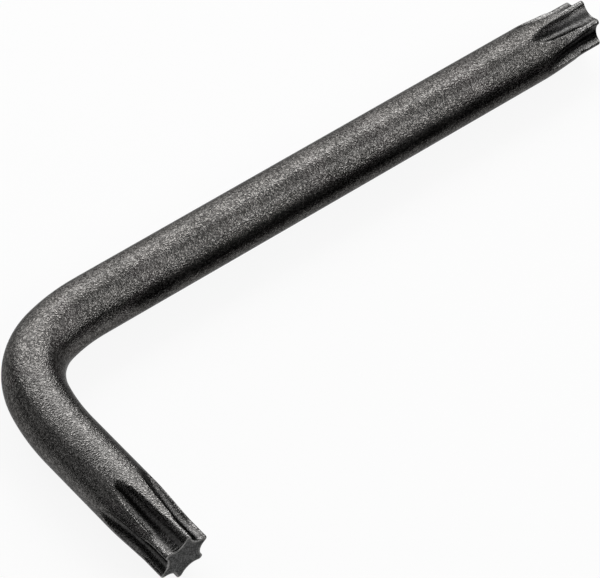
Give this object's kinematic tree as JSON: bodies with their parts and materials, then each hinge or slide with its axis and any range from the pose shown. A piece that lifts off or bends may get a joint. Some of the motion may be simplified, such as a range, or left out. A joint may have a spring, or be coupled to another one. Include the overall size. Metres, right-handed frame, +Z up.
{
  "type": "star-drive key",
  "caption": "L-shaped steel key with a star-drive tip on the end of each arm, for turning star-drive screws by hand.",
  "frame": {"origin": "on the surface that the key lies on, under the middle of its overall length and width", "axes": "+X along the long arm towards its star, -Y along the short arm towards its star, +Z up from the surface"},
  "size_m": [0.078, 0.031, 0.006],
  "materials": {
    "blackened_steel": "blackened, blasted to a fine even grain, smoother on the flutes and end faces"
  },
  "bodies": {
    "root": {"key": "blackened_steel"}
  },
  "joints": []
}
